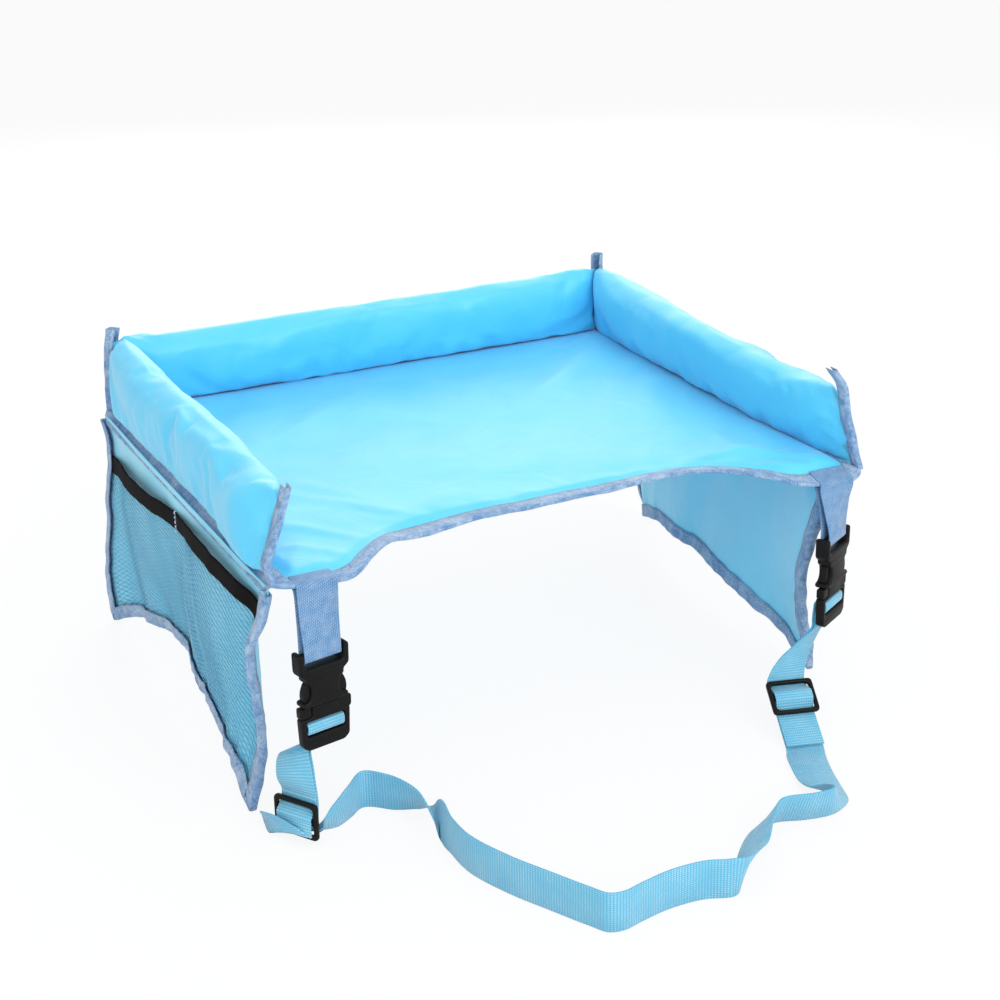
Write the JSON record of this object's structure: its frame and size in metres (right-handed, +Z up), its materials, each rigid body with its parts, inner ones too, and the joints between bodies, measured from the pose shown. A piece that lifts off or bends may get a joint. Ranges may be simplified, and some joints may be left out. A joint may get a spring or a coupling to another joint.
{
  "type": "stroller snack tray",
  "caption": "Padded cloth tray with a stiff floor, low padded walls, side flaps with net pockets and a buckled waist strap.",
  "frame": {"origin": "under the middle of the tray, on the surface that it stands on", "axes": "+X to the right along the tray's width, +Y from the belly edge to the rear wall, +Z up"},
  "size_m": [0.4488, 0.5238, 0.2215],
  "materials": {
    "cover_fabric": "smooth, slightly glossy coated cloth",
    "binding_tape": "matte woven edge tape",
    "pocket_net": "matte knitted net",
    "black_elastic": "matte woven elastic",
    "webbing": "matte ribbed webbing",
    "black_plastic": "satin moulded plastic",
    "foam": "matte open-cell foam",
    "board_plastic": "matte plastic sheet"
  },
  "bodies": {
    "tray": {"floor_top_cover": "cover_fabric", "stiffener_board": "board_plastic", "floor_bottom_cover": "cover_fabric", "front_edge_binding": "binding_tape", "rear_edge_binding": "binding_tape", "left_edge_binding": "binding_tape", "right_edge_binding": "binding_tape", "rear_wall_cover": "cover_fabric", "left_wall_cover": "cover_fabric", "right_wall_cover": "cover_fabric", "rear_wall_foam": "foam", "left_wall_foam": "foam", "right_wall_foam": "foam", "rear_left_corner_tape": "binding_tape", "rear_right_corner_tape": "binding_tape", "front_left_end_tape": "binding_tape", "front_right_end_tape": "binding_tape"},
    "left_flap": {"left_flap_panel": "cover_fabric", "left_pocket_net": "pocket_net", "left_pocket_elastic": "black_elastic", "left_flap_binding": "binding_tape"},
    "right_flap": {"right_flap_panel": "cover_fabric", "right_pocket_net": "pocket_net", "right_pocket_elastic": "black_elastic", "right_flap_binding": "binding_tape"},
    "belt": {"left_buckle_tab": "webbing", "right_buckle_tab": "webbing", "left_buckle_socket": "black_plastic", "right_buckle_socket": "black_plastic", "strap_left_loop": "webbing", "strap_right_loop": "webbing", "waist_strap": "webbing"},
    "left_plug": {"left_buckle_plug": "black_plastic"},
    "left_arm_one": {"left_plug_arm_left": "black_plastic"},
    "left_arm_two": {"left_plug_arm_right": "black_plastic"},
    "right_plug": {"right_buckle_plug": "black_plastic"},
    "right_arm_one": {"right_plug_arm_left": "black_plastic"},
    "right_arm_two": {"right_plug_arm_right": "black_plastic"},
    "left_slider_body": {"left_slider": "black_plastic"},
    "right_slider_body": {"right_slider": "black_plastic"}
  },
  "joints": [
    {"name": "left_flap_fold", "type": "hinge", "parent": "tray", "child": "left_flap", "pos_m": [-0.2005, 0, 0.15925], "axis": [0, 1, 0], "range_deg": [-75, 110]},
    {"name": "right_flap_fold", "type": "hinge", "parent": "tray", "child": "right_flap", "pos_m": [0.2005, 0, 0.15925], "axis": [0, -1, 0], "range_deg": [-75, 110]},
    {"name": "belt_swing", "type": "hinge", "parent": "tray", "child": "belt", "pos_m": [0, -0.1692, 0.16], "axis": [-1, 0, 0], "range_deg": [0, 90], "deforming": ["left_buckle_tab", "right_buckle_tab"]},
    {"name": "left_plug_slide", "type": "slide", "parent": "belt", "child": "left_plug", "axis": [0, 0, -1], "range_m": [0, 0.017], "deforming": ["strap_left_loop", "left_plug_arm_left", "left_plug_arm_right"]},
    {"name": "right_plug_slide", "type": "slide", "parent": "belt", "child": "right_plug", "axis": [0, 0, -1], "range_m": [0, 0.017], "deforming": ["strap_right_loop", "right_plug_arm_left", "right_plug_arm_right"]},
    {"name": "left_arm_one_pinch", "type": "hinge", "parent": "left_plug", "child": "left_arm_one", "pos_m": [-0.19018, -0.1729, 0.081], "axis": [-0.2079, 0.9781, 0], "range_deg": [0, 10], "stiffness_Nm_per_rad": 0.2},
    {"name": "left_arm_two_pinch", "type": "hinge", "parent": "left_plug", "child": "left_arm_two", "pos_m": [-0.16182, -0.16687, 0.081], "axis": [0.2079, -0.9781, 0], "range_deg": [0, 10], "stiffness_Nm_per_rad": 0.2},
    {"name": "right_arm_one_pinch", "type": "hinge", "parent": "right_plug", "child": "right_arm_one", "pos_m": [0.16357, -0.17735, 0.081], "axis": [-0.515, 0.8572, 0], "range_deg": [0, 10], "stiffness_Nm_per_rad": 0.2},
    {"name": "right_arm_two_pinch", "type": "hinge", "parent": "right_plug", "child": "right_arm_two", "pos_m": [0.18843, -0.16242, 0.081], "axis": [0.515, -0.8572, 0], "range_deg": [0, 10], "stiffness_Nm_per_rad": 0.2},
    {"name": "left_slider_slide", "type": "slide", "parent": "belt", "child": "left_slider_body", "axis": [0, 0, 1], "range_m": [0, 0.014], "deforming": ["strap_left_loop", "waist_strap"]},
    {"name": "right_slider_slide", "type": "slide", "parent": "belt", "child": "right_slider_body", "axis": [0.2006, 0.8026, 0.5618], "range_m": [0, 0.025], "deforming": ["strap_right_loop", "waist_strap"]}
  ],
  "couplings": [
    {"joint": "left_arm_two_pinch", "follows": "left_arm_one_pinch", "ratio": 1},
    {"joint": "right_arm_two_pinch", "follows": "right_arm_one_pinch", "ratio": 1}
  ]
}
